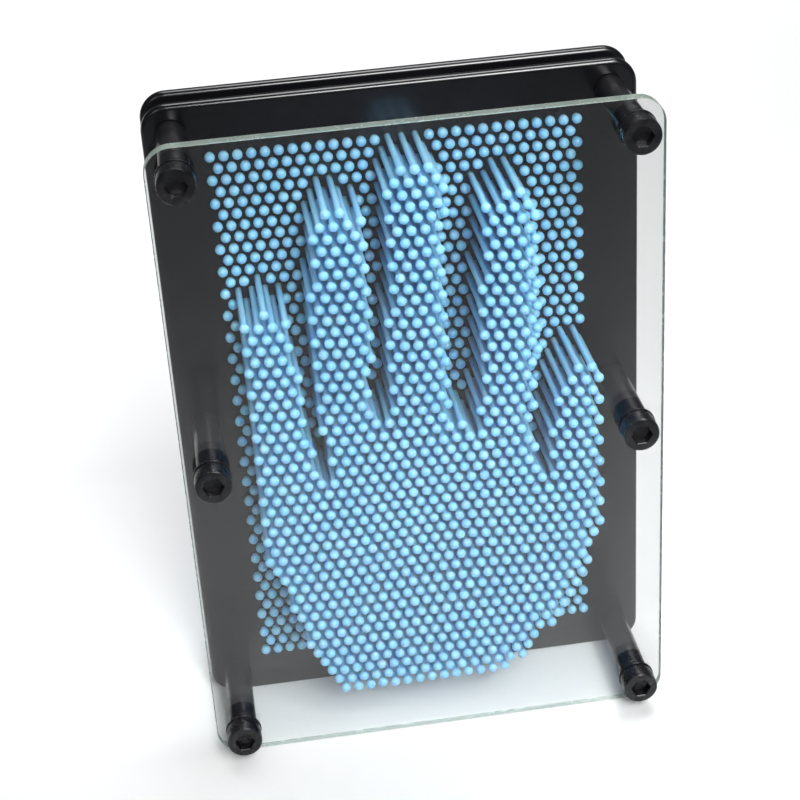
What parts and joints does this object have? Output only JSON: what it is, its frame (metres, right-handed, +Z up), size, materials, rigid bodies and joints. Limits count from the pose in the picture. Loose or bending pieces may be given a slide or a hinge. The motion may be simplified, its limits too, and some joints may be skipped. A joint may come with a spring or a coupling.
{
  "type": "pin art impression toy",
  "caption": "Upright desk toy: blue ball-headed pins slide through black plates behind a clear bolted cover and hold the raised impression of an open hand.",
  "frame": {"origin": "on the surface that the toy stands on, under the middle of its bounding box", "axes": "+X to the right as seen from the cover, +Y from the clear cover towards the pins' rear ends, +Z up along the long side of the plates"},
  "size_m": [0.1456, 0.083, 0.2076],
  "materials": {
    "plates": "glossy black moulded plastic with a faint moulded waviness",
    "spacers": "glossy black plastic tube",
    "fasteners": "black finished socket head screws, washers and nuts",
    "cover": "polished clear acrylic sheet with greenish grey edges",
    "pins": "smooth light sky blue plastic"
  },
  "bodies": {
    "frame": {"clear_front_cover": "cover", "front_pin_plate": "plates", "rear_pin_plate": "plates", "cap_screw_upper_left": "fasteners", "washer_upper_left": "fasteners", "cover_spacer_upper_left": "spacers", "plate_spacer_upper_left": "spacers", "nut_upper_left": "fasteners", "cap_screw_upper_right": "fasteners", "washer_upper_right": "fasteners", "cover_spacer_upper_right": "spacers", "plate_spacer_upper_right": "spacers", "nut_upper_right": "fasteners", "cap_screw_middle_left": "fasteners", "washer_middle_left": "fasteners", "cover_spacer_middle_left": "spacers", "plate_spacer_middle_left": "spacers", "nut_middle_left": "fasteners", "cap_screw_middle_right": "fasteners", "washer_middle_right": "fasteners", "cover_spacer_middle_right": "spacers", "plate_spacer_middle_right": "spacers", "nut_middle_right": "fasteners", "cap_screw_lower_left": "fasteners", "washer_lower_left": "fasteners", "cover_spacer_lower_left": "spacers", "plate_spacer_lower_left": "spacers", "nut_lower_left": "fasteners", "cap_screw_lower_right": "fasteners", "washer_lower_right": "fasteners", "cover_spacer_lower_right": "spacers", "plate_spacer_lower_right": "spacers", "nut_lower_right": "fasteners"},
    "upper_left_field": {"upper_left_field_pins": "pins"},
    "ring_middle_gap": {"ring_middle_gap_pins": "pins"},
    "middle_finger_tip": {"middle_finger_tip_pins": "pins"},
    "middle_index_gap": {"middle_index_gap_pins": "pins"},
    "upper_right_field": {"upper_right_field_pins": "pins"},
    "ring_finger_tip": {"ring_finger_tip_pins": "pins"},
    "index_finger_tip": {"index_finger_tip_pins": "pins"},
    "left_edge": {"left_edge_pins": "pins"},
    "little_finger_tip": {"little_finger_tip_pins": "pins"},
    "little_ring_gap": {"little_ring_gap_pins": "pins"},
    "index_thumb_gap": {"index_thumb_gap_pins": "pins"},
    "middle_finger_base": {"middle_finger_base_pins": "pins"},
    "ring_finger_base": {"ring_finger_base_pins": "pins"},
    "index_finger_base": {"index_finger_base_pins": "pins"},
    "little_finger_base": {"little_finger_base_pins": "pins"},
    "thumb": {"thumb_pins": "pins"},
    "upper_palm_left": {"upper_palm_left_pins": "pins"},
    "upper_palm_centre": {"upper_palm_centre_pins": "pins"},
    "upper_palm_right": {"upper_palm_right_pins": "pins"},
    "middle_palm_left": {"middle_palm_left_pins": "pins"},
    "middle_palm_centre": {"middle_palm_centre_pins": "pins"},
    "middle_palm_right": {"middle_palm_right_pins": "pins"},
    "lower_left_field": {"lower_left_field_pins": "pins"},
    "lower_right_field": {"lower_right_field_pins": "pins"},
    "left_heel": {"left_heel_pins": "pins"},
    "right_heel": {"right_heel_pins": "pins"},
    "corner_pin_slider": {"corner_pin": "pins"}
  },
  "joints": [
    {"name": "upper_left_field_slide", "type": "slide", "parent": "frame", "child": "upper_left_field", "axis": [0, -1, 0], "range_m": [0, 0.0265]},
    {"name": "ring_middle_gap_slide", "type": "slide", "parent": "frame", "child": "ring_middle_gap", "axis": [0, -1, 0], "range_m": [0, 0.0265]},
    {"name": "middle_finger_tip_slide", "type": "slide", "parent": "frame", "child": "middle_finger_tip", "axis": [0, -1, 0], "range_m": [-0.0238, 0.0002]},
    {"name": "middle_index_gap_slide", "type": "slide", "parent": "frame", "child": "middle_index_gap", "axis": [0, -1, 0], "range_m": [0, 0.0265]},
    {"name": "upper_right_field_slide", "type": "slide", "parent": "frame", "child": "upper_right_field", "axis": [0, -1, 0], "range_m": [0, 0.0265]},
    {"name": "ring_finger_tip_slide", "type": "slide", "parent": "frame", "child": "ring_finger_tip", "axis": [0, -1, 0], "range_m": [-0.0237, 0.0002]},
    {"name": "index_finger_tip_slide", "type": "slide", "parent": "frame", "child": "index_finger_tip", "axis": [0, -1, 0], "range_m": [-0.0238, 0.0002]},
    {"name": "left_edge_slide", "type": "slide", "parent": "frame", "child": "left_edge", "axis": [0, -1, 0], "range_m": [0, 0.0265]},
    {"name": "little_finger_tip_slide", "type": "slide", "parent": "frame", "child": "little_finger_tip", "axis": [0, -1, 0], "range_m": [-0.0243, 0.0002]},
    {"name": "little_ring_gap_slide", "type": "slide", "parent": "frame", "child": "little_ring_gap", "axis": [0, -1, 0], "range_m": [0, 0.0265]},
    {"name": "index_thumb_gap_slide", "type": "slide", "parent": "frame", "child": "index_thumb_gap", "axis": [0, -1, 0], "range_m": [0, 0.0265]},
    {"name": "middle_finger_base_slide", "type": "slide", "parent": "frame", "child": "middle_finger_base", "axis": [0, -1, 0], "range_m": [-0.0238, 0.0002]},
    {"name": "ring_finger_base_slide", "type": "slide", "parent": "frame", "child": "ring_finger_base", "axis": [0, -1, 0], "range_m": [-0.0237, 0.0002]},
    {"name": "index_finger_base_slide", "type": "slide", "parent": "frame", "child": "index_finger_base", "axis": [0, -1, 0], "range_m": [-0.0234, 0.0002]},
    {"name": "little_finger_base_slide", "type": "slide", "parent": "frame", "child": "little_finger_base", "axis": [0, -1, 0], "range_m": [-0.0247, 0.0002]},
    {"name": "thumb_slide", "type": "slide", "parent": "frame", "child": "thumb", "axis": [0, -1, 0], "range_m": [-0.0236, 0.0002]},
    {"name": "upper_palm_left_slide", "type": "slide", "parent": "frame", "child": "upper_palm_left", "axis": [0, -1, 0], "range_m": [-0.0245, 0.0002]},
    {"name": "upper_palm_centre_slide", "type": "slide", "parent": "frame", "child": "upper_palm_centre", "axis": [0, -1, 0], "range_m": [-0.0237, 0.0003]},
    {"name": "upper_palm_right_slide", "type": "slide", "parent": "frame", "child": "upper_palm_right", "axis": [0, -1, 0], "range_m": [-0.0239, 0.0002]},
    {"name": "middle_palm_left_slide", "type": "slide", "parent": "frame", "child": "middle_palm_left", "axis": [0, -1, 0], "range_m": [-0.0253, 0.0002]},
    {"name": "middle_palm_centre_slide", "type": "slide", "parent": "frame", "child": "middle_palm_centre", "axis": [0, -1, 0], "range_m": [-0.0228, 0.0007]},
    {"name": "middle_palm_right_slide", "type": "slide", "parent": "frame", "child": "middle_palm_right", "axis": [0, -1, 0], "range_m": [-0.0238, 0.0003]},
    {"name": "lower_left_field_slide", "type": "slide", "parent": "frame", "child": "lower_left_field", "axis": [0, -1, 0], "range_m": [0, 0.0265]},
    {"name": "lower_right_field_slide", "type": "slide", "parent": "frame", "child": "lower_right_field", "axis": [0, -1, 0], "range_m": [0, 0.0265]},
    {"name": "left_heel_slide", "type": "slide", "parent": "frame", "child": "left_heel", "axis": [0, -1, 0], "range_m": [-0.0251, 0.0002]},
    {"name": "right_heel_slide", "type": "slide", "parent": "frame", "child": "right_heel", "axis": [0, -1, 0], "range_m": [-0.0251, 0.0002]},
    {"name": "corner_pin_slider_slide", "type": "slide", "parent": "frame", "child": "corner_pin_slider", "axis": [0, -1, 0], "range_m": [0, 0.0265]}
  ]
}
